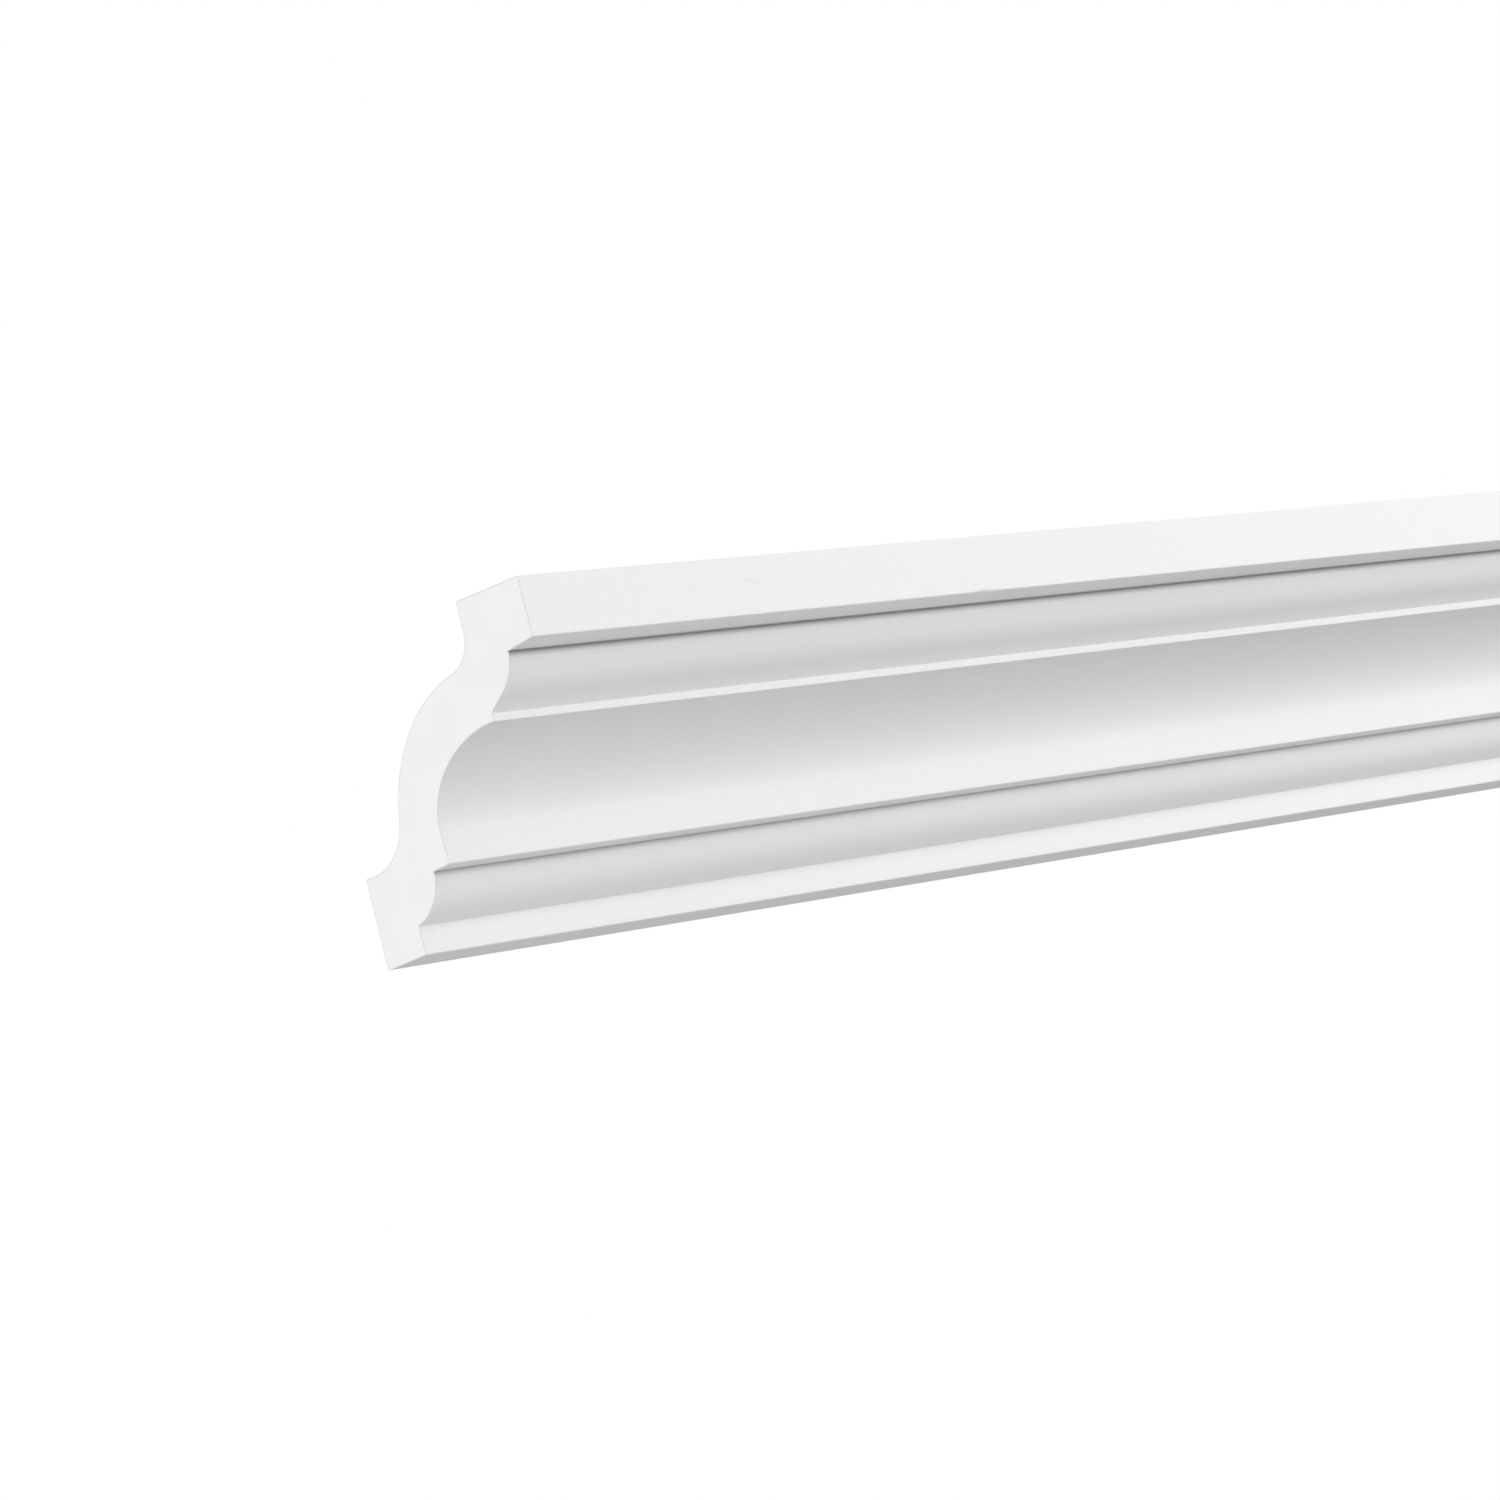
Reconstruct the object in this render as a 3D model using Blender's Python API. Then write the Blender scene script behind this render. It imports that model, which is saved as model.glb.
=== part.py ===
"""Crown moulding length: one run of a moulded cornice profile, sawn square at both ends.

Metres, +Z up, as it is fixed in a room. The origin is the middle of the flat that bears on
the wall: +X runs along the length, +Y goes into the wall, -Y is the room, and the flat on top
bears on the ceiling. One outline is drawn across the length and extruded along it. In that
outline the first coordinate is the distance out from the wall, the second the height.
"""

from math import atan2, ceil, cos, pi, radians, sin, sqrt, tan

import bmesh
import bpy
from mathutils import Matrix, Vector

# Length along the wall
LENGTH = 1.000

# Flats that bear on the building
WALL_FLAT = 0.0295
CEILING_FLAT = 0.0292

# Members of the front, from the wall out into the room and from the bottom up
UNDERSIDE_REACH = 0.0182
UNDERSIDE_RISE = 0.0008
BASE_LEAN = 0.0002
BASE_RISE = 0.0092
LOWER_OVOLO_REACH = 0.0129
LOWER_OVOLO_RISE = 0.0144
STEP_REACH = 0.0069
STEP_RISE = 0.0006
FLAT_RISE = 0.0138
COVE_REACH = 0.0344
COVE_RISE = 0.0224
BEAD_REACH = 0.0003
BEAD_RISE = 0.0025
FLARE_REACH = 0.0055
FLARE_RISE = 0.0040
UPPER_OVOLO_REACH = 0.0077
UPPER_OVOLO_RISE = 0.0119
SOFFIT_REACH = 0.0113
SOFFIT_RISE = 0.0013
FASCIA_LEAN = 0.0006
FASCIA_RISE = 0.0191

# Stretch of an ellipse that each curved member follows, in degrees round it
LOWER_OVOLO_ARC = (-78.0, -6.0)
COVE_ARC = (173.0, 90.0)
FLARE_ARC = (145.0, 123.0)
UPPER_OVOLO_ARC = (-54.0, -4.0)

# Hollow back: the web behind the cove, the big round of its back face, and the rounds that
# lead from it into the foot and the head
WEB_THICKNESS = 0.0186
WEB_ROUND = 0.0463
FOOT_ROUND = 0.0178
HEAD_ROUND = 0.0112

# Rounding of the long edges
FRONT_EDGE_RADIUS = 0.0005
BACK_EDGE_RADIUS = 0.0006
WALL_EDGE_RADIUS = 0.0014

# Steps of the curves and of the rounded edges, in degrees, and the angle that stays a sharp edge
CURVE_STEP = 3.0
EDGE_STEP = 30.0
SHARP_ANGLE = 35.0

# Points closer than this are one point
WELD = 0.00001

# White primer on rigid foam
NAME = "crown_moulding"
COLLECTION = "crown_moulding_length"
COLOUR = (0.86, 0.86, 0.85, 1.0)
ROUGHNESS = 0.6


def steps(first, last, step):
    """Angles in radians from first to last, both included, no further apart than step degrees."""
    count = max(1, ceil(abs(last - first) / radians(step)))
    return [first + (last - first) * index / count for index in range(count + 1)]


def arc_points(centre, radius, first, last):
    """Points round a circle, from one angle to another."""
    return [centre + Vector((cos(angle), sin(angle))) * radius
            for angle in steps(first, last, CURVE_STEP)]


def line_to(outline, reach, rise, edge_radius=0.0):
    """Go straight out and up, and note how far the corner that is reached is rounded."""
    outline.append((outline[-1][0] + Vector((reach, rise)), edge_radius))


def curve_to(outline, reach, rise, arc, edge_radius=0.0):
    """Follow a stretch of an ellipse whose two ends lie reach and rise apart."""
    start = outline[-1][0]
    first, last = radians(arc[0]), radians(arc[1])
    across = reach / (cos(last) - cos(first))
    upward = rise / (sin(last) - sin(first))
    for angle in steps(first, last, CURVE_STEP)[1:]:
        offset = Vector((across * (cos(angle) - cos(first)), upward * (sin(angle) - sin(first))))
        outline.append((start + offset, 0.0))
    outline[-1] = (outline[-1][0], edge_radius)


def front_outline():
    """The face seen from the room, from the wall's bottom corner up to the fascia's top."""
    outline = [(Vector((0.0, 0.0)), WALL_EDGE_RADIUS)]
    line_to(outline, UNDERSIDE_REACH, UNDERSIDE_RISE, FRONT_EDGE_RADIUS)
    line_to(outline, BASE_LEAN, BASE_RISE)
    curve_to(outline, LOWER_OVOLO_REACH, LOWER_OVOLO_RISE, LOWER_OVOLO_ARC)
    line_to(outline, STEP_REACH, STEP_RISE, FRONT_EDGE_RADIUS)
    line_to(outline, 0.0, FLAT_RISE)
    cove_foot = outline[-1][0]
    curve_to(outline, COVE_REACH, COVE_RISE, COVE_ARC, FRONT_EDGE_RADIUS)
    cove_top = outline[-1][0]
    line_to(outline, BEAD_REACH, BEAD_RISE, FRONT_EDGE_RADIUS)
    curve_to(outline, FLARE_REACH, FLARE_RISE, FLARE_ARC)
    curve_to(outline, UPPER_OVOLO_REACH, UPPER_OVOLO_RISE, UPPER_OVOLO_ARC)
    line_to(outline, SOFFIT_REACH, SOFFIT_RISE, FRONT_EDGE_RADIUS)
    line_to(outline, FASCIA_LEAN, FASCIA_RISE, FRONT_EDGE_RADIUS)
    return outline, cove_foot, cove_top


def lead_round(line_offset, room, radius):
    """A round that touches both a straight face and the web's big round from outside.

    line_offset is how far the face lies beyond the big round's centre, towards the small
    round, and room is how much of the face there is past that centre. The radius gives way
    where the face is too short for it. Returns the radius and the round's distance along
    the face from the big round's centre.
    """
    widest = (room ** 2 + line_offset ** 2 - WEB_ROUND ** 2) / (2 * (WEB_ROUND - line_offset))
    radius = min(radius, widest)
    along = sqrt((WEB_ROUND + radius) ** 2 - (line_offset + radius) ** 2)
    return radius, along


def back_outline(fascia_top, cove_foot, cove_top):
    """The hollow back, from the ceiling flat's inner edge down to the wall flat's upper edge."""
    shoulder = fascia_top.x - CEILING_FLAT
    web = Vector((cove_foot.x - WEB_THICKNESS + WEB_ROUND,
                  cove_top.y + WEB_THICKNESS - WEB_ROUND))
    head_room = fascia_top.y - BACK_EDGE_RADIUS - web.y
    head_radius, head_along = lead_round(web.x - shoulder, head_room, HEAD_ROUND)
    head = Vector((shoulder - head_radius, web.y + head_along))
    foot_room = web.x - BACK_EDGE_RADIUS
    foot_radius, foot_along = lead_round(WALL_FLAT - web.y, foot_room, FOOT_ROUND)
    foot = Vector((web.x - foot_along, WALL_FLAT + foot_radius))

    to_head = atan2(head.y - web.y, head.x - web.x)
    to_foot = atan2(foot.y - web.y, foot.x - web.x)
    points = arc_points(head, head_radius, 0.0, to_head - pi)
    points += arc_points(web, WEB_ROUND, to_head, to_foot)[1:-1]
    points += arc_points(foot, foot_radius, to_foot - pi, -pi / 2)

    outline = [(Vector((shoulder, fascia_top.y)), BACK_EDGE_RADIUS)]
    outline += [(point, 0.0) for point in points]
    outline.append((Vector((0.0, WALL_FLAT)), BACK_EDGE_RADIUS))
    return outline


def rounded(outline):
    """Round each corner that has an edge radius, as far as its two sides leave room."""
    points = []
    for index, (corner, radius) in enumerate(outline):
        if radius == 0.0:
            points.append(corner)
            continue
        to_last = outline[index - 1][0] - corner
        to_next = outline[(index + 1) % len(outline)][0] - corner
        half_angle = to_last.angle(to_next) / 2
        tangent = min(radius / tan(half_angle), to_last.length / 2, to_next.length / 2)
        radius = tangent * tan(half_angle)
        inward = (to_last.normalized() + to_next.normalized()).normalized()
        centre = corner + inward * radius / sin(half_angle)
        spoke = corner + to_last.normalized() * tangent - centre
        turn = pi - 2 * half_angle
        if to_last.cross(to_next) > 0:
            turn = -turn
        for angle in steps(0.0, turn, EDGE_STEP):
            points.append(centre + Matrix.Rotation(angle, 2) @ spoke)
    return points


def make_material():
    """White primed foam."""
    material = bpy.data.materials.new("white_primed_foam")
    material.use_nodes = True
    shader = material.node_tree.nodes["Principled BSDF"]
    shader.inputs["Base Color"].default_value = COLOUR
    shader.inputs["Roughness"].default_value = ROUGHNESS
    shader.inputs["Metallic"].default_value = 0.0
    return material


def extrude_outline(points, collection):
    """A flat outline, extruded both ways along the length and welded into one closed mesh."""
    curve = bpy.data.curves.new(NAME + "_outline", "CURVE")
    curve.dimensions = "2D"
    curve.fill_mode = "BOTH"
    curve.extrude = LENGTH / 2
    spline = curve.splines.new("POLY")
    spline.points.add(len(points) - 1)
    for target, point in zip(spline.points, points):
        target.co = (point.x, point.y - WALL_FLAT / 2, 0.0, 1.0)
    spline.use_cyclic_u = True
    outline = bpy.data.objects.new(NAME + "_outline", curve)
    collection.objects.link(outline)
    # The outline's x is the room (-Y), its y is up (+Z), and it is extruded along X
    outline.matrix_world = Matrix(((0, 0, -1, 0), (-1, 0, 0, 0), (0, 1, 0, 0), (0, 0, 0, 1)))

    evaluated = outline.evaluated_get(bpy.context.evaluated_depsgraph_get())
    mesh = bpy.data.meshes.new_from_object(evaluated)
    mesh.name = NAME
    shape = bmesh.new()
    shape.from_mesh(mesh)
    bmesh.ops.remove_doubles(shape, verts=shape.verts, dist=WELD)
    bmesh.ops.recalc_face_normals(shape, faces=shape.faces)
    shape.to_mesh(mesh)
    shape.free()

    piece = bpy.data.objects.new(NAME, mesh)
    collection.objects.link(piece)
    piece.matrix_world = outline.matrix_world.copy()
    bpy.data.objects.remove(outline, do_unlink=True)
    return piece


def main():
    for item in list(bpy.data.objects):
        bpy.data.objects.remove(item, do_unlink=True)
    collection = bpy.data.collections.new(COLLECTION)
    bpy.context.scene.collection.children.link(collection)

    front, cove_foot, cove_top = front_outline()
    fascia_top = front[-1][0]
    points = rounded(front + back_outline(fascia_top, cove_foot, cove_top))
    piece = extrude_outline(points, collection)
    piece.data.materials.clear()
    piece.data.materials.append(make_material())
    piece.data.shade_smooth()
    piece.data.set_sharp_from_angle(angle=radians(SHARP_ANGLE))


main()
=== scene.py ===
from math import atan2, ceil, cos, pi, radians, sin, sqrt, tan

import bpy
from mathutils import Matrix, Vector, noise
from mathutils.geometry import tessellate_polygon


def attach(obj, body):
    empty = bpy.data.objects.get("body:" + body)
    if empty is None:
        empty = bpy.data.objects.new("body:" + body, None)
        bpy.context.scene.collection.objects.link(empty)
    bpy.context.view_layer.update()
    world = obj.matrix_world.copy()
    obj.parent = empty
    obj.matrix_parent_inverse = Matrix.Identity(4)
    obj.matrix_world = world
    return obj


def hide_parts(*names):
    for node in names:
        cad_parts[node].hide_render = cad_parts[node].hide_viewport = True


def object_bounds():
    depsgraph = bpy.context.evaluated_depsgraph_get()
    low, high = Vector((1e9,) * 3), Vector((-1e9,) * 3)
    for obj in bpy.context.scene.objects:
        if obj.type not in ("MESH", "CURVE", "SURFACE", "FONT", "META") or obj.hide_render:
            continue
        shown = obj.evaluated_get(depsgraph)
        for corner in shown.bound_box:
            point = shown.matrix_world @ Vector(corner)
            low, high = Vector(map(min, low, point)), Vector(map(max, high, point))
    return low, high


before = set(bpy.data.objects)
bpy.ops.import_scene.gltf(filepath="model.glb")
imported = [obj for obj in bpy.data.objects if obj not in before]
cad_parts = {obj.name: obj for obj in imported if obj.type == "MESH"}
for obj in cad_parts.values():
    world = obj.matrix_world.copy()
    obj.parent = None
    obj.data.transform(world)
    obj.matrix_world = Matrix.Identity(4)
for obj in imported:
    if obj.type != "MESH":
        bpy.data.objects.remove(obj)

cadLow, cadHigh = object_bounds()
millimetre = 0.001
profileFoot = cadHigh.z - 100.0 * millimetre  # the profile is 100 mm high, up to the ceiling
print("frame loaded, box", [round(value, 4) for value in (*cadLow, *cadHigh)])


# Small helpers

def modelPlace(along, out, up):
    # millimetres from the left end, out from the wall and up from the bottom, to metres
    return (cadLow.x + along * millimetre, cadHigh.y - out * millimetre,
            profileFoot + up * millimetre)


def hexColour(code):
    # sRGB hex to the linear values that shaders take
    channels = [int(code[index:index + 2], 16) / 255 for index in (1, 3, 5)]
    linear = [c / 12.92 if c <= 0.04045 else ((c + 0.055) / 1.055) ** 2.4 for c in channels]
    return (*linear, 1.0)


def addNode(tree, kind, settings=None, links=None):
    # settings are properties or input values, links are input: (node, output)
    node = tree.nodes.new(kind)
    for name, value in (settings or {}).items():
        if isinstance(name, str) and hasattr(node, name):
            setattr(node, name, value)
        else:
            node.inputs[name].default_value = value
    for name, (source, output) in (links or {}).items():
        tree.links.new(source.outputs[output], node.inputs[name])
    return node


def plainMaterial(name, colour, roughness):
    # one colour and one roughness all over
    material = bpy.data.materials.new(name)
    material.use_nodes = True
    shader = material.node_tree.nodes["Principled BSDF"]
    shader.inputs["Base Color"].default_value = hexColour(colour)
    shader.inputs["Roughness"].default_value = roughness
    return material


# Camera, at the photograph's viewing angle

camera = {
    "lens": 116.56, "sensor": 36.0,  # mm
    "fromLeftEnd": Vector((-1014.3, -1118.3, -131.3)),  # mm from the sawn end's lower wall edge
    "right": Vector((0.68141, -0.68990, -0.24440)),
    "up": Vector((0.08792, -0.25434, 0.96311)),
    "nearest": 0.05, "farthest": 200.0,  # metres between which the camera sees
}


def makeCamera():
    data = bpy.data.cameras.new("studioCamera")
    data.sensor_width = camera["sensor"]
    data.lens = camera["lens"]
    data.clip_start = camera["nearest"]
    data.clip_end = camera["farthest"]
    holder = bpy.data.objects.new("studioCamera", data)
    bpy.context.scene.collection.objects.link(holder)
    right = camera["right"].normalized()
    back = right.cross(camera["up"]).normalized()
    up = back.cross(right)
    turn = Matrix((right, up, back)).transposed().to_4x4()
    corner = Vector((cadLow.x, cadHigh.y, profileFoot))
    place = corner + camera["fromLeftEnd"] * millimetre
    holder.matrix_world = Matrix.Translation(place) @ turn
    bpy.context.scene.camera = holder


makeCamera()
print("camera made")


# Studio: a pale floor far below, a white room and two soft lights

studio = {
    "floorDrop": 4.5,  # metres under the moulding, so that it can be seen from below too
    "floorRadius": 34.0, "floorSides": 96,
    "floorColour": "#c8c8c8", "floorRoughness": 0.9,
    "underHorizon": "#adadad",  # what the floor looks like in this light
    "backdrop": "#ffffff",  # behind the moulding, as the camera sees it
    "frontWall": "#b3b3b3",  # the side that lights the face
    "wallBlend": 0.3,  # depth of a direction, each way, over which one wall turns into the other
    "horizonTop": -0.08,  # height of a direction at which the room is all white
    "horizonFoot": -0.13,  # height at which it has turned into the floor's shade
    "aim": Vector((0.25, 0.0, 0.03)),  # metres from the left end to where both lights point
    "lights": [
        # name, azimuth and height in degrees seen from the aim, distance, size, watts
        ("keyLight", 303.0, 16.0, 2.6, 2.4, 45.0),
        ("endLight", 190.0, -15.0, 2.6, 2.4, 27.0),
    ],
}


def makeFloor():
    bpy.ops.mesh.primitive_circle_add(
        vertices=studio["floorSides"], radius=studio["floorRadius"], fill_type="NGON",
        location=(0.0, 0.0, cadLow.z - studio["floorDrop"]))
    floor = bpy.context.object
    floor.name = "paleFloor"
    floor.data.materials.append(plainMaterial(
        "palePaintedFloor", studio["floorColour"], studio["floorRoughness"]))


def makeRoom():
    world = bpy.data.worlds.new("whiteRoom")
    bpy.context.scene.world = world
    world.use_nodes = True
    tree = world.node_tree
    tree.nodes.clear()
    direction = addNode(tree, "ShaderNodeTexCoord")
    parts = addNode(tree, "ShaderNodeSeparateXYZ", links={"Vector": (direction, "Generated")})
    rise = addNode(tree, "ShaderNodeMapRange", {
        "interpolation_type": "SMOOTHSTEP",
        "From Min": studio["horizonFoot"], "From Max": studio["horizonTop"],
    }, {"Value": (parts, "Z")})
    depth = addNode(tree, "ShaderNodeMapRange", {
        "interpolation_type": "SMOOTHSTEP",
        "From Min": -studio["wallBlend"], "From Max": studio["wallBlend"],
    }, {"Value": (parts, "Y")})
    walls = addNode(tree, "ShaderNodeMix", {
        "data_type": "RGBA", 6: hexColour(studio["frontWall"]), 7: hexColour(studio["backdrop"]),
    }, {"Factor": (depth, "Result")})
    colour = addNode(tree, "ShaderNodeMix", {
        "data_type": "RGBA", 6: hexColour(studio["underHorizon"]),
    }, {"Factor": (rise, "Result"), 7: (walls, 2)})
    background = addNode(tree, "ShaderNodeBackground", links={"Color": (colour, 2)})
    addNode(tree, "ShaderNodeOutputWorld", links={"Surface": (background, "Background")})


def makeLights():
    target = Vector((cadLow.x, 0.0, 0.0)) + studio["aim"]
    for name, azimuth, height, distance, size, watts in studio["lights"]:
        data = bpy.data.lights.new(name, "AREA")
        data.shape = "DISK"
        data.size = size
        data.energy = watts
        flat = radians(azimuth)
        lift = radians(height)
        away = Vector((cos(flat) * cos(lift), sin(flat) * cos(lift), sin(lift)))
        lamp = bpy.data.objects.new(name, data)
        bpy.context.scene.collection.objects.link(lamp)
        lamp.location = target + away * distance
        lamp.rotation_euler = away.to_track_quat("Z", "Y").to_euler()


makeFloor()
makeRoom()
makeLights()
bpy.context.scene.view_settings.view_transform = "Standard"
print("studio made")


# The moulding, in millimetres out from the wall and up from the bottom

moulding = {
    "wallFlat": 29.5,
    "ceilingFlat": 28.6,
    "undersideReach": 18.9, "undersideRise": 0.8,
    "baseLean": -0.3, "baseRise": 9.2,
    "lowerOvoloReach": 12.5, "lowerOvoloRise": 14.4, "lowerOvoloArc": (-76.0, -6.0),
    "stepReach": 7.6, "stepRise": 0.6,
    "flatLean": -0.5, "flatRise": 11.8,
    "coveReach": 34.4, "coveRise": 24.4, "coveArc": (177.0, 90.0),
    "beadReach": 0.1, "beadRise": 2.5,
    "flareReach": 5.7, "flareRise": 4.0, "flareArc": (139.0, 129.0),
    "upperOvoloReach": 7.5, "upperOvoloRise": 11.9, "upperOvoloArc": (-54.0, -8.0),
    "soffitReach": 11.8, "soffitRise": 1.3,
    "quirkReach": 0.3, "quirkRise": 1.0, "quirkArc": (0.0, 60.0),  # each ovolo turns in at its top
    "fasciaLean": -0.3, "fasciaRise": 19.1,
    "webTop": 19.0, "webSide": 18.0,  # how far the hollow back lies from the cove, above and behind
    "webRound": 46.3, "footRound": 17.8, "headRound": 11.2,  # radii of the hollow back
    "frontEdge": 0.45, "beadEdge": 0.2, "backEdge": 0.6, "wallEdge": 1.4,  # radii of the long edges
    "curveStep": 3.0,  # degrees between points of a curve
    "edgeStep": 18.0,  # degrees between points of a rounded edge
    "sharpAngle": 32.0,  # degrees above which an edge is shaded sharp
    "longestRun": 1.5,  # between points on a straight stretch
    "fasciaRun": 0.6,  # finer, for the mark on the fascia
    "stationGap": 5.5,  # along the length
    "endGap": 0.8,  # from each end to the first of those stations
    "swell": 0.05, "swellWidth": 80.0,  # slow waves that a mould leaves, depth and width
    "ripple": 0.01, "rippleWidth": 14.0,
    "edgeBreak": 0.08,  # how far the saw cut's edge is broken
    "skin": 0.24,  # width of the dense painted skin that shows round the cut
    "openRoom": 9.0,  # how far a point away from the rounded edges may move in
}

# Small flaws of the paint and edges. Places are millimetres from the left end and up.
flaws = {
    "scratch": [(95.4, 93.2), (96.6, 91.4), (102.6, 90.4)],  # a curve through three handles
    "tick": [(221.2, 82.2), (222.4, 82.8), (223.6, 83.6)],
    "scratchWidth": 0.9, "scratchDepth": 0.30,  # of both
    "curveParts": 14,
    "fasciaDepth": 0.3,  # how far behind the fascia's lower edge they still mark the surface
    "fineFrom": 88.0, "fineTo": 108.0, "fineGap": 0.5,  # closer stations round the scratch
    "nickFrom": 202.0, "nickDeepest": 209.0, "nickTo": 220.0,  # in the fascia's lower edge
    "nickDepth": 0.5, "nickSpread": 1.5,
    "nickWay": Vector((-0.7, 0.7)),  # it pushes the edge in and up
    "nickFineFrom": 199.0, "nickFineTo": 225.0, "nickGap": 1.2,  # closer stations round the nick
}


def anglesBetween(first, last, step):
    # radians from first to last, both included, no further apart than step degrees
    count = max(1, ceil(abs(last - first) / radians(step)))
    return [first + (last - first) * index / count for index in range(count + 1)]


def lineTo(outline, reach, rise, radius=0.0, zone="front"):
    outline.append([outline[-1][0] + Vector((reach, rise)), radius, zone])


def curveTo(outline, reach, rise, arc, radius=0.0):
    # a stretch of an ellipse whose two ends lie reach and rise apart
    start = outline[-1][0]
    first, last = radians(arc[0]), radians(arc[1])
    across = reach / (cos(last) - cos(first))
    upward = rise / (sin(last) - sin(first))
    for angle in anglesBetween(first, last, moulding["curveStep"])[1:]:
        offset = Vector((across * (cos(angle) - cos(first)), upward * (sin(angle) - sin(first))))
        outline.append([start + offset, 0.0, "front"])
    outline[-1][1] = radius


def ovoloTo(outline, reach, rise, arc):
    # an ovolo whose top turns in to a quirk, which draws a dark line under the member above
    m = moulding
    curveTo(outline, reach, rise - m["quirkRise"], arc)
    curveTo(outline, -m["quirkReach"], m["quirkRise"], m["quirkArc"])


def frontOutline():
    # each entry is a point, the radius of its edge and the zone of the run that leads to it
    m = moulding
    edge = m["frontEdge"]
    outline = [[Vector((0.0, 0.0)), m["wallEdge"], "back"]]
    lineTo(outline, m["undersideReach"], m["undersideRise"], edge)
    lineTo(outline, m["baseLean"], m["baseRise"])
    ovoloTo(outline, m["lowerOvoloReach"], m["lowerOvoloRise"], m["lowerOvoloArc"])
    lowerQuirk = outline[-1][0]
    lineTo(outline, m["stepReach"] + m["quirkReach"], m["stepRise"], edge)
    lineTo(outline, m["flatLean"], m["flatRise"])
    coveFoot = outline[-1][0]
    curveTo(outline, m["coveReach"], m["coveRise"], m["coveArc"], m["beadEdge"])
    coveTop = outline[-1][0]
    lineTo(outline, m["beadReach"], m["beadRise"])
    curveTo(outline, m["flareReach"], m["flareRise"], m["flareArc"])
    ovoloTo(outline, m["upperOvoloReach"], m["upperOvoloRise"], m["upperOvoloArc"])
    upperQuirk = outline[-1][0]
    lineTo(outline, m["soffitReach"] + m["quirkReach"], m["soffitRise"], edge)
    lineTo(outline, m["fasciaLean"], m["fasciaRise"], edge, "fascia")
    marks = {"coveFoot": coveFoot, "coveTop": coveTop, "quirks": [lowerQuirk, upperQuirk]}
    return outline, marks


def leadRound(lineOffset, room, radius):
    # a round that touches a straight face and the big round of the hollow back from outside,
    # smaller where the face is too short for it: its radius, and how far along the face it lies
    webRound = moulding["webRound"]
    widest = (room ** 2 + lineOffset ** 2 - webRound ** 2) / (2 * (webRound - lineOffset))
    radius = min(radius, widest)
    return radius, sqrt((webRound + radius) ** 2 - (lineOffset + radius) ** 2)


def arcPoints(centre, radius, first, last):
    return [centre + Vector((cos(angle), sin(angle))) * radius
            for angle in anglesBetween(first, last, moulding["curveStep"])]


def backOutline(fasciaTop, coveFoot, coveTop):
    # the hollow back, from the ceiling flat down to the wall flat
    m = moulding
    shoulder = fasciaTop.x - m["ceilingFlat"]
    web = Vector((coveFoot.x - m["webSide"] + m["webRound"],
                  coveTop.y + m["webTop"] - m["webRound"]))
    headRoom = fasciaTop.y - m["backEdge"] - web.y
    headRadius, headAlong = leadRound(web.x - shoulder, headRoom, m["headRound"])
    head = Vector((shoulder - headRadius, web.y + headAlong))
    footRoom = web.x - m["backEdge"]
    footRadius, footAlong = leadRound(m["wallFlat"] - web.y, footRoom, m["footRound"])
    foot = Vector((web.x - footAlong, m["wallFlat"] + footRadius))
    toHead = atan2(head.y - web.y, head.x - web.x)
    toFoot = atan2(foot.y - web.y, foot.x - web.x)
    points = arcPoints(head, headRadius, 0.0, toHead - pi)
    points += arcPoints(web, m["webRound"], toHead, toFoot)[1:-1]
    points += arcPoints(foot, footRadius, toFoot - pi, -pi / 2)
    outline = [[Vector((shoulder, fasciaTop.y)), m["backEdge"], "back"]]
    outline += [[point, 0.0, "back"] for point in points]
    outline.append([Vector((0.0, m["wallFlat"])), m["backEdge"], "back"])
    return outline


def roundedOutline(outline):
    # rounds the long edges, and notes how far each point may move in before the edge closes up
    rounded = []
    for index, (corner, radius, zone) in enumerate(outline):
        if radius == 0.0:
            rounded.append((corner, zone, moulding["openRoom"]))
            continue
        toLast = outline[index - 1][0] - corner
        toNext = outline[(index + 1) % len(outline)][0] - corner
        half = toLast.angle(toNext) / 2
        tangent = min(radius / tan(half), toLast.length / 2, toNext.length / 2)
        radius = tangent * tan(half)
        inward = (toLast.normalized() + toNext.normalized()).normalized()
        centre = corner + inward * radius / sin(half)
        spoke = corner + toLast.normalized() * tangent - centre
        turn = pi - 2 * half
        if toLast.cross(toNext) > 0:
            turn = -turn
        for angle in anglesBetween(0.0, turn, moulding["edgeStep"]):
            rounded.append((centre + Matrix.Rotation(angle, 2) @ spoke, zone, radius / 2))
            zone = "front" if zone == "fascia" else zone
    return rounded


def dividedOutline(rounded):
    # puts points along the straight runs, so that the surface can be shaped
    divided = []
    for index, (point, zone, room) in enumerate(rounded):
        start = rounded[index - 1][0]
        longest = moulding["fasciaRun"] if zone == "fascia" else moulding["longestRun"]
        count = max(1, ceil((point - start).length / longest))
        side = "back" if zone == "back" else "front"
        for part in range(1, count + 1):
            partRoom = room if part == count else moulding["openRoom"]
            divided.append((start.lerp(point, part / count), side, partRoom))
    return divided


def outwardNormals(points):
    normals = []
    for index, point in enumerate(points):
        before = (point - points[index - 1]).normalized()
        after = (points[(index + 1) % len(points)] - point).normalized()
        along = (before + after).normalized()
        normals.append(Vector((along.y, -along.x)))
    return normals


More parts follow.
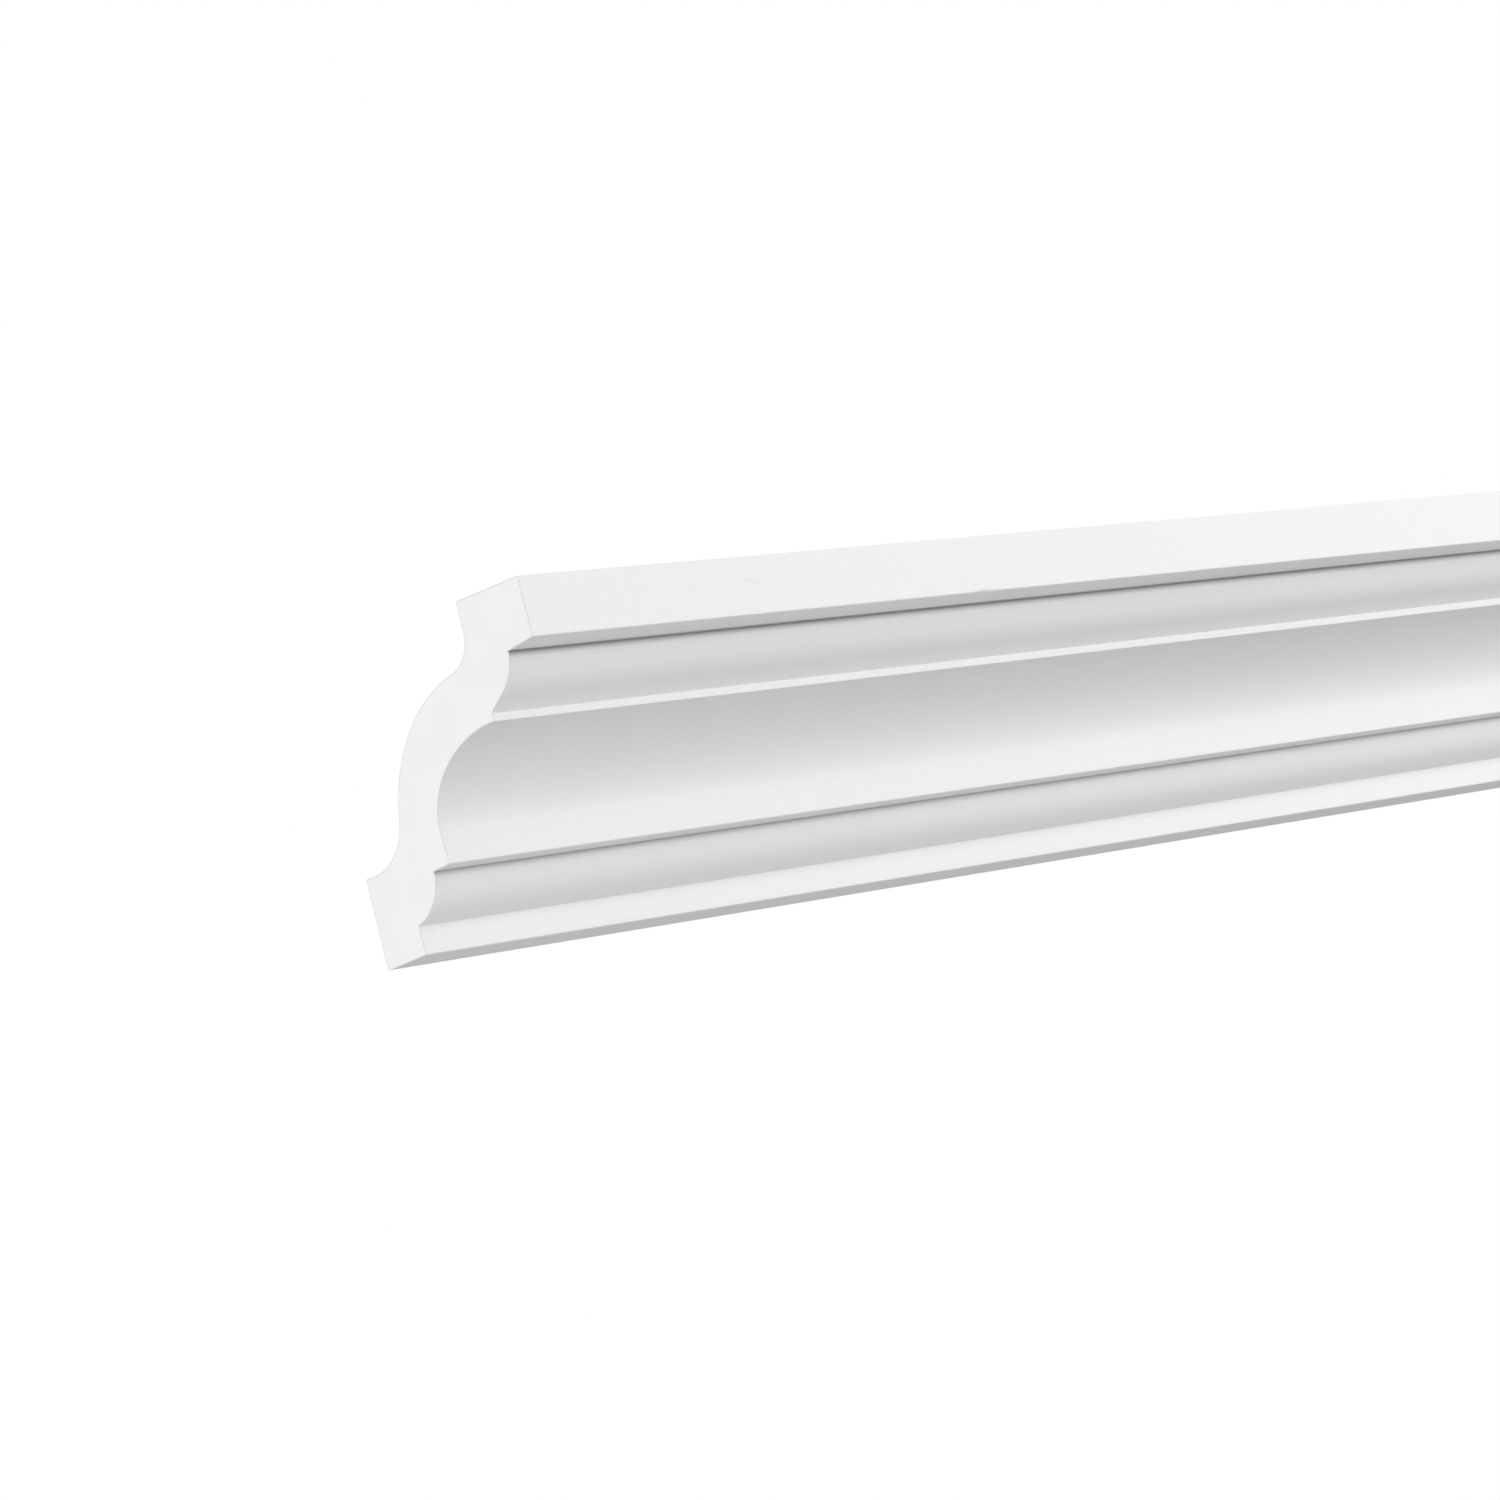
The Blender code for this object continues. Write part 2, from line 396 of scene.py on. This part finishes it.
def stationsAlong(length):
    # millimetres from the left end, closer together where a flaw needs it
    end = length - moulding["endGap"]
    stations = [moulding["edgeBreak"], moulding["endGap"]]
    while stations[-1] < end:
        here = stations[-1]
        gap = moulding["stationGap"]
        if flaws["fineFrom"] <= here < flaws["fineTo"]:
            gap = flaws["fineGap"]
        elif flaws["nickFineFrom"] <= here < flaws["nickFineTo"]:
            gap = flaws["nickGap"]
        stations.append(min(here + gap, end))
    return stations + [length - moulding["edgeBreak"]]


def curveThrough(handles):
    first, middle, last = (Vector(handle) for handle in handles)
    count = flaws["curveParts"]
    points = []
    for index in range(count + 1):
        t = index / count
        points.append(first * (1 - t) ** 2 + middle * 2 * t * (1 - t) + last * t ** 2)
    return points


def grooveDepth(place, line):
    near = min((place - point).length for point in line)
    share = max(0.0, 1.0 - near / flaws["scratchWidth"])
    return flaws["scratchDepth"] * share


def nickShare(along):
    # from 0 at the nick's two ends to 1 where it is deepest
    if along <= flaws["nickFrom"] or along >= flaws["nickTo"]:
        return 0.0
    if along < flaws["nickDeepest"]:
        return (along - flaws["nickFrom"]) / (flaws["nickDeepest"] - flaws["nickFrom"])
    return (flaws["nickTo"] - along) / (flaws["nickTo"] - flaws["nickDeepest"])


def wave(place, width):
    # smooth noise between 0 and 1
    return 0.5 + 0.5 * noise.noise(place / width)


def surfaceDepth(along, point):
    # how far the skin lies in from the true outline, always inwards
    place = Vector((along, point.x, point.y))
    slow = moulding["swell"] * wave(place, moulding["swellWidth"])
    return slow + moulding["ripple"] * wave(place, moulding["rippleWidth"])


def shapedRing(along, points, normals, grooves, fasciaFoot):
    # the outline at one station, with its waves and flaws
    nick = nickShare(along)
    ring = []
    for point, normal in zip(points, normals):
        depth = surfaceDepth(along, point)
        if point.x > fasciaFoot.x - flaws["fasciaDepth"]:
            place = Vector((along, point.y))
            depth += sum(grooveDepth(place, line) for line in grooves)
        moved = point - normal * depth
        toFoot = (point - fasciaFoot).length
        if nick > 0.0 and toFoot < flaws["nickSpread"]:
            fade = (1.0 - toFoot / flaws["nickSpread"]) ** 2
            moved += flaws["nickWay"] * flaws["nickDepth"] * nick * fade
        ring.append(moved)
    return ring


def insetRing(ring, inset, rooms):
    # the ring moved in from its edge, as far as each point has room
    return [place - normal * min(inset, room)
            for place, normal, room in zip(ring, outwardNormals(ring), rooms)]


def facesBetween(rings, zones):
    # quads from ring to ring and the two filled ends, each with the key of its material
    count = len(zones)
    last = len(rings) - 1
    skinRows = (0, 1, last - 2, last - 1)
    faces = []
    keys = []
    for row in range(last):
        for column in range(count):
            after = (column + 1) % count
            faces.append((row * count + column, row * count + after,
                          (row + 1) * count + after, (row + 1) * count + column))
            keys.append("skin" if row in skinRows else zones[after])
    for ring, first, flip in ((rings[0], 0, True), (rings[-1], last * count, False)):
        flat = [place.to_3d() for place in ring]
        for corners in tessellate_polygon([flat]):
            a, b, c = (flat[corner] for corner in corners)
            if ((b - a).cross(c - a).z > 0) == flip:
                corners = corners[::-1]
            faces.append(tuple(first + corner for corner in corners))
            keys.append("sawn")
    return faces, keys


def makeMoulding():
    front, marks = frontOutline()
    fasciaTop = front[-1][0]
    outline = front + backOutline(fasciaTop, marks["coveFoot"], marks["coveTop"])
    points, zones, rooms = zip(*dividedOutline(roundedOutline(outline)))
    normals = outwardNormals(points)
    length = (cadHigh.x - cadLow.x) / millimetre
    grooves = [curveThrough(flaws["scratch"]), curveThrough(flaws["tick"])]
    fasciaFoot = fasciaTop - Vector((moulding["fasciaLean"], moulding["fasciaRise"]))

    # from the left end to the right one, with two more rings on each sawn face for the skin
    stations = stationsAlong(length)
    rings = [shapedRing(along, points, normals, grooves, fasciaFoot) for along in stations]
    edgeBreak = moulding["edgeBreak"]
    skinInset = edgeBreak + moulding["skin"]
    leftEnd = [insetRing(rings[0], inset, rooms) for inset in (skinInset, edgeBreak)]
    rightEnd = [insetRing(rings[-1], inset, rooms) for inset in (edgeBreak, skinInset)]
    rings = leftEnd + rings + rightEnd
    stations = [0.0, 0.0] + stations + [length, length]

    vertices = [modelPlace(along, place.x, place.y)
                for along, ring in zip(stations, rings) for place in ring]
    faces, keys = facesBetween(rings, zones)
    mesh = bpy.data.meshes.new("crownMoulding")
    mesh.from_pydata(vertices, [], faces)
    mesh.validate()
    piece = bpy.data.objects.new("crownMouldingRun", mesh)
    bpy.context.scene.collection.objects.link(piece)
    order = ["front", "back", "sawn", "skin"]
    for key in order:
        mesh.materials.append(materials[key])
    for polygon, key in zip(mesh.polygons, keys):
        polygon.material_index = order.index(key)
    mesh.shade_smooth()
    mesh.set_sharp_from_angle(angle=radians(moulding["sharpAngle"]))
    triangles = sum(len(polygon.vertices) - 2 for polygon in mesh.polygons)
    print("moulding made,", len(rings), "rings of", len(points), "points,", triangles, "triangles")
    return piece


# Materials. Widths, depths and heights are millimetres.

def perMillimetre(size):
    # a texture's scale for features of this many millimetres, on coordinates in metres
    return 1.0 / (size * millimetre)


def startMaterial(name):
    material = bpy.data.materials.new(name)
    material.use_nodes = True
    tree = material.node_tree
    return material, tree, addNode(tree, "ShaderNodeTexCoord")


def finishMaterial(tree, colour, bump, values):
    # links the last nodes and sets what is the same all over
    shader = tree.nodes["Principled BSDF"]
    tree.links.new(colour.outputs[2], shader.inputs["Base Color"])
    tree.links.new(bump.outputs["Normal"], shader.inputs["Normal"])
    for name, value in values.items():
        shader.inputs[name].default_value = value


def mottle(tree, place, recipe):
    # slow drift between two close shades
    spread = addNode(tree, "ShaderNodeTexNoise", {
        "Scale": perMillimetre(recipe["mottleWidth"]), "Detail": 3.0, "Roughness": 0.6,
    }, {"Vector": (place, "Object")})
    share = addNode(tree, "ShaderNodeMapRange", {
        "From Min": 0.3, "From Max": 0.7}, {"Value": (spread, "Fac")})
    return addNode(tree, "ShaderNodeMix", {
        "data_type": "RGBA", 6: hexColour(recipe["shade"]), 7: hexColour(recipe["light"]),
    }, {"Factor": (share, "Result")})


primedFoam = {
    "light": "#f2f2f2", "shade": "#f0f0f0",
    "mottleWidth": 40.0,
    "grain": 0.9,  # the pebble of sprayed primer, drawn a little coarse so that it shows
    "grainHeight": 0.11,
    "hollow": "#eeeeee",  # painted shade in the pebble's hollows, a little greyer than its tops
    "hollowFrom": 0.62, "hollowTo": 0.38,  # grain values where a hollow's painted shade starts and is full
    "roughness": 0.55, "ior": 1.5,
    "paintedQuirkShades": ["#d0d0d0", "#acacac"],  # painted shade in the lower and upper quirk, greyer towards each quirk's corner
    "quirkShadeFade": 2.4,  # over which the painted shade fades
    "pits": [(155.3, 97.8, 95.0), (257.5, 97.8, 95.1), (481.1, 45.0, 55.9)],  # along, out, up
    "pitRadius": 0.5, "pitDustAndShade": "#dedede",
    "pitDepth": 3.0,  # in grain heights
}


def makePrimedFoam():
    # moulded hard foam with sprayed white primer: matt, faintly pebbled, almost even, with painted
    # shade in the quirks and in the pebble's hollows
    recipe = primedFoam
    material, tree, place = startMaterial("primedHardFoam")
    colour = mottle(tree, place, recipe)
    grain = addNode(tree, "ShaderNodeTexNoise", {
        "Scale": perMillimetre(recipe["grain"]), "Detail": 2.0, "Roughness": 0.55,
    }, {"Vector": (place, "Object")})
    # painted shade: the pebble's hollows are drawn a little greyer than its tops
    paintedHollowShade = addNode(tree, "ShaderNodeMapRange", {
        "From Min": recipe["hollowFrom"], "From Max": recipe["hollowTo"],
    }, {"Value": (grain, "Fac")})
    colour = addNode(tree, "ShaderNodeMix", {
        "data_type": "RGBA", 7: hexColour(recipe["hollow"]),
    }, {"Factor": (paintedHollowShade, "Result"), 6: (colour, 2)})
    # painted shade in the two quirks: distances to them are measured across the length
    across = addNode(tree, "ShaderNodeVectorMath", {"operation": "MULTIPLY", 1: (0.0, 1.0, 1.0)},
                     {0: (place, "Object")})
    for quirk, paintedQuirkShade in zip(frontOutline()[1]["quirks"], recipe["paintedQuirkShades"]):
        corner = (0.0, *modelPlace(0.0, quirk.x, quirk.y)[1:])
        away = addNode(tree, "ShaderNodeVectorMath", {"operation": "DISTANCE", 1: corner},
                       {0: (across, "Vector")})
        quirkShadeShare = addNode(tree, "ShaderNodeMapRange", {
            "interpolation_type": "SMOOTHSTEP",
            "From Min": recipe["quirkShadeFade"] * millimetre, "From Max": 0.0,
        }, {"Value": (away, "Value")})
        # the colour turns to the quirk's painted shade near its corner
        colour = addNode(tree, "ShaderNodeMix", {
            "data_type": "RGBA", 7: hexColour(paintedQuirkShade),
        }, {"Factor": (quirkShadeShare, "Result"), 6: (colour, 2)})
    height = grain
    output = "Fac"
    pitRadius = recipe["pitRadius"] * millimetre
    for along, out, up in recipe["pits"]:
        spot = modelPlace(along, out, up)
        away = addNode(tree, "ShaderNodeVectorMath", {"operation": "DISTANCE", 1: spot},
                       {0: (place, "Object")})
        dip = addNode(tree, "ShaderNodeMapRange", {
            "From Min": 0.0, "From Max": pitRadius, "To Min": -recipe["pitDepth"], "To Max": 0.0,
        }, {"Value": (away, "Value")})
        height = addNode(tree, "ShaderNodeMath", {"operation": "ADD"},
                         {0: (height, output), 1: (dip, "Result")})
        output = "Value"
        # each pit is drawn greyer: a speck of dust in it, and painted shade that the shallow pit
        # doesn't cast
        dustAndPitShade = addNode(tree, "ShaderNodeMapRange", {
            "From Min": pitRadius, "From Max": 0.0}, {"Value": (away, "Value")})
        colour = addNode(tree, "ShaderNodeMix", {
            "data_type": "RGBA", 7: hexColour(recipe["pitDustAndShade"]),
        }, {"Factor": (dustAndPitShade, "Result"), 6: (colour, 2)})
    bump = addNode(tree, "ShaderNodeBump", {
        "Strength": 1.0, "Distance": recipe["grainHeight"] * millimetre,
    }, {"Height": (height, output)})
    finishMaterial(tree, colour, bump, {"Roughness": recipe["roughness"], "IOR": recipe["ior"]})
    return material


sawnFoam = {
    "light": "#f6f6f6", "shade": "#f2f2f2",
    "mottleWidth": 14.0,
    "cell": 0.6,  # closed cells cut open, finer in the real foam
    "cellHeight": 0.05,
    "bladeGap": 15.08, "bladeHeight": 0.02,  # broad faint bands that the saw blade leaves
    "roughness": 0.9, "gloss": 0.3,
}

waveTurns = 20 / (2 * pi)  # bands that a wave texture of scale 1 draws over one unit


def makeSawnFoam():
    # sawn closed-cell foam: bright, dry, with fine open cells and a trace of the blade
    recipe = sawnFoam
    material, tree, place = startMaterial("sawnHardFoam")
    colour = mottle(tree, place, recipe)
    cells = addNode(tree, "ShaderNodeTexVoronoi", {
        "Scale": perMillimetre(recipe["cell"])}, {"Vector": (place, "Object")})
    cellBump = addNode(tree, "ShaderNodeBump", {
        "Strength": 1.0, "Distance": recipe["cellHeight"] * millimetre,
    }, {"Height": (cells, "Distance")})
    blade = addNode(tree, "ShaderNodeTexWave", {
        "bands_direction": "Z", "Scale": perMillimetre(recipe["bladeGap"]) / waveTurns,
        "Distortion": 3.0, "Detail": 2.0, "Detail Scale": 2.0,
    }, {"Vector": (place, "Object")})
    bump = addNode(tree, "ShaderNodeBump", {
        "Strength": 1.0, "Distance": recipe["bladeHeight"] * millimetre,
    }, {"Height": (blade, "Fac"), "Normal": (cellBump, "Normal")})
    finishMaterial(tree, colour, bump, {
        "Roughness": recipe["roughness"], "Specular IOR Level": recipe["gloss"]})
    return material


mouldedBack = {
    "light": "#f0efee", "shade": "#e8e7e5",
    "mottleWidth": 40.0,
    "grain": 2.6,
    "grainHeight": 0.12,
    "bubble": 9.0, "bubbleDepth": 0.35,  # between trapped air bubbles, and their depth
    "bubbleFloor": 0.06, "bubbleRim": 0.12,  # radii of a bubble's floor and rim, in those gaps
    "roughness": 0.7, "ior": 1.5,
}


def makeMouldedBack():
    # the unseen back: the same foam against a rougher mould half, with small air bubbles
    recipe = mouldedBack
    material, tree, place = startMaterial("mouldedFoamBack")
    colour = mottle(tree, place, recipe)
    grain = addNode(tree, "ShaderNodeTexNoise", {
        "Scale": perMillimetre(recipe["grain"]), "Detail": 4.0, "Roughness": 0.6,
    }, {"Vector": (place, "Object")})
    grainBump = addNode(tree, "ShaderNodeBump", {
        "Strength": 1.0, "Distance": recipe["grainHeight"] * millimetre,
    }, {"Height": (grain, "Fac")})
    bubbles = addNode(tree, "ShaderNodeTexVoronoi", {
        "Scale": perMillimetre(recipe["bubble"])}, {"Vector": (place, "Object")})
    pit = addNode(tree, "ShaderNodeMapRange", {
        "From Min": recipe["bubbleFloor"], "From Max": recipe["bubbleRim"],
    }, {"Value": (bubbles, "Distance")})
    bump = addNode(tree, "ShaderNodeBump", {
        "Strength": 1.0, "Distance": recipe["bubbleDepth"] * millimetre,
    }, {"Height": (pit, "Result"), "Normal": (grainBump, "Normal")})
    finishMaterial(tree, colour, bump, {"Roughness": recipe["roughness"], "IOR": recipe["ior"]})
    return material


# the dense skin and primer seen edge on round the saw cut: a thin greyer line
paintedSkin = {"colour": "#dcdcdc", "roughness": 0.6}

materials = {
    "front": makePrimedFoam(),
    "back": makeMouldedBack(),
    "sawn": makeSawnFoam(),
    "skin": plainMaterial("primerEdge", paintedSkin["colour"], paintedSkin["roughness"]),
}
print("materials made")

run = makeMoulding()
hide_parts("crown_moulding")
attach(run, "root")
